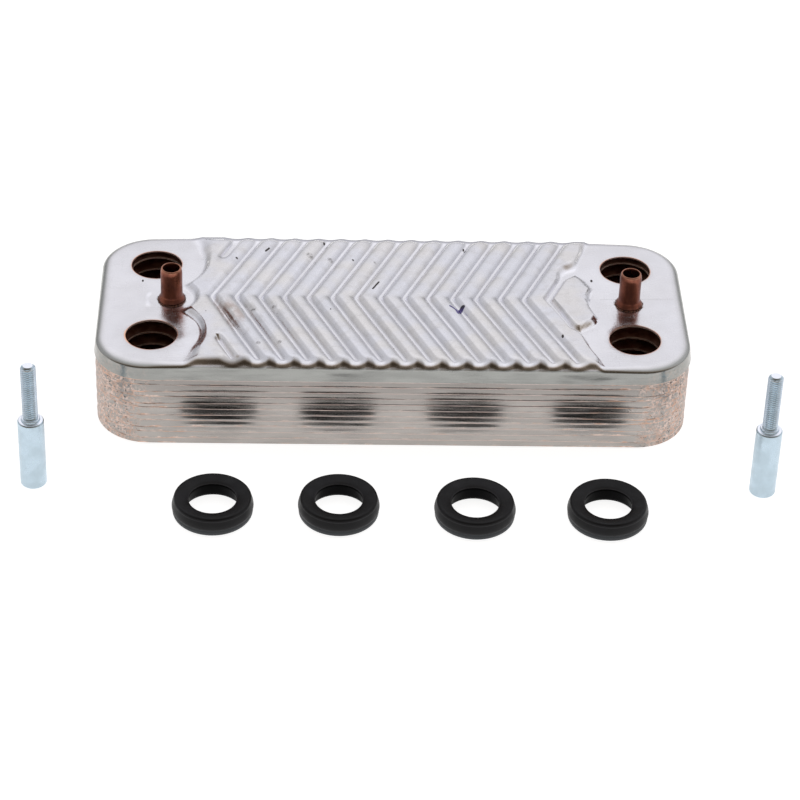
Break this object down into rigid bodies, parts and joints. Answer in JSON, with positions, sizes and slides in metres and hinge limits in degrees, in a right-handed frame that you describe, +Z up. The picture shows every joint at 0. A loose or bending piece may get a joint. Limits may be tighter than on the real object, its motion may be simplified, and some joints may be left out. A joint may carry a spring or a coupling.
{
  "type": "plate heat exchanger",
  "caption": "Brazed pack of herringbone stainless plates with four ports and two copper locating tubes, with its loose rubber port seals and threaded fixing studs.",
  "frame": {"origin": "on the surface that the exchanger stands on, under the centre of its four ports", "axes": "+X along the exchanger's length, +Y away from the loose seals, +Z up out of the port face"},
  "size_m": [0.2365, 0.1244, 0.0446],
  "materials": {
    "stainless_steel": "bright mill finish with fine scuffs and a faint heat tint",
    "braze_copper": null,
    "copper_tube": null,
    "rubber": "matt black moulded rubber",
    "zinc_plated_steel": "bright blue-tinted zinc plate"
  },
  "bodies": {
    "pack": {"cover_plate": "stainless_steel", "channel_plate_01": "stainless_steel", "channel_plate_02": "stainless_steel", "channel_plate_03": "stainless_steel", "channel_plate_04": "stainless_steel", "channel_plate_05": "stainless_steel", "channel_plate_06": "stainless_steel", "channel_plate_07": "stainless_steel", "channel_plate_08": "stainless_steel", "channel_plate_09": "stainless_steel", "channel_plate_10": "stainless_steel", "back_plate": "stainless_steel", "copper_foil_01": "braze_copper", "copper_foil_02": "braze_copper", "copper_foil_03": "braze_copper", "copper_foil_04": "braze_copper", "copper_foil_05": "braze_copper", "copper_foil_06": "braze_copper", "copper_foil_07": "braze_copper", "copper_foil_08": "braze_copper", "copper_foil_09": "braze_copper", "copper_foil_10": "braze_copper", "copper_foil_11": "braze_copper", "copper_tube_left": "copper_tube", "copper_tube_right": "copper_tube"},
    "seal_1": {"port_seal_1": "rubber"},
    "seal_2": {"port_seal_2": "rubber"},
    "seal_3": {"port_seal_3": "rubber"},
    "seal_4": {"port_seal_4": "rubber"},
    "stud_left": {"fixing_stud_left": "zinc_plated_steel"},
    "stud_right": {"fixing_stud_right": "zinc_plated_steel"}
  },
  "joints": [
    {"name": "seal_1_lift", "type": "slide", "parent": "pack", "child": "seal_1", "axis": [0, 0, 1], "range_m": [0, 0.05]},
    {"name": "seal_2_lift", "type": "slide", "parent": "pack", "child": "seal_2", "axis": [0, 0, 1], "range_m": [0, 0.05]},
    {"name": "seal_3_lift", "type": "slide", "parent": "pack", "child": "seal_3", "axis": [0, 0, 1], "range_m": [0, 0.05]},
    {"name": "seal_4_lift", "type": "slide", "parent": "pack", "child": "seal_4", "axis": [0, 0, 1], "range_m": [0, 0.05]},
    {"name": "stud_left_lift", "type": "slide", "parent": "pack", "child": "stud_left", "axis": [0, 0, 1], "range_m": [0, 0.05]},
    {"name": "stud_right_lift", "type": "slide", "parent": "pack", "child": "stud_right", "axis": [0, 0, 1], "range_m": [0, 0.05]}
  ]
}
